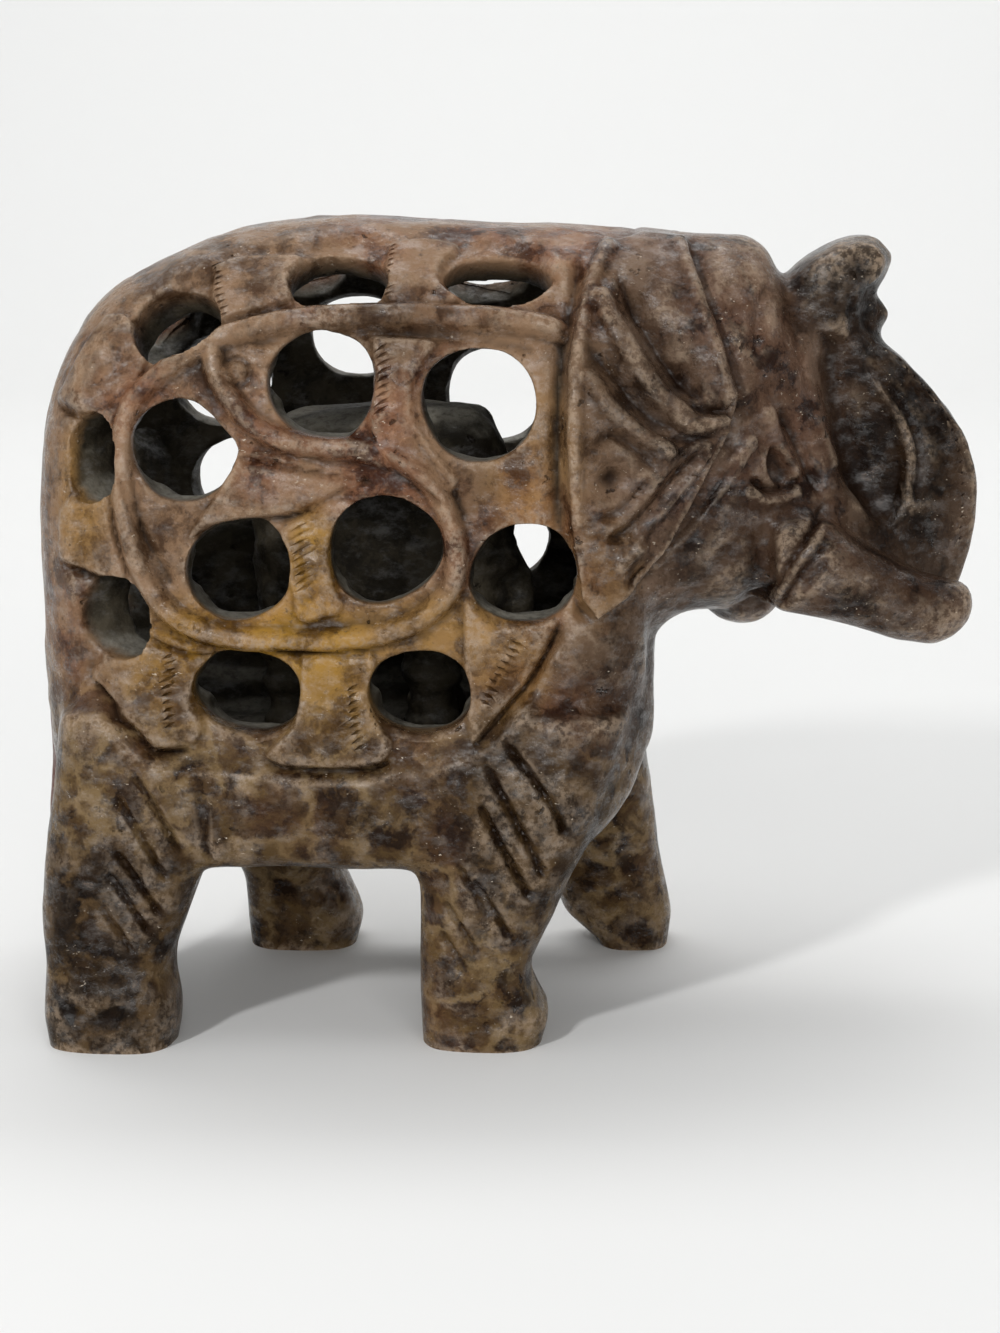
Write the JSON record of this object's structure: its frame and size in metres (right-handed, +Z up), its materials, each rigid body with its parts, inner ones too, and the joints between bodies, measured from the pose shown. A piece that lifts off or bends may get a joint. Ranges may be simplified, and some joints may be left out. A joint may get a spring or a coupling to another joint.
{
  "type": "elephant sculpture",
  "caption": "Soapstone elephant carved from one block, with its trunk raised, an openwork body and a smaller elephant standing inside",
  "frame": {"origin": "on the ground, under the middle of the figure's box", "axes": "+X from the tail to the trunk, +Y towards the elephant's left side, +Z up"},
  "size_m": [0.1188, 0.0576, 0.101],
  "materials": {
    "soapstone": "hand polished and waxed outside, unpolished inside"
  },
  "bodies": {
    "root": {"elephant": "soapstone"}
  },
  "joints": []
}
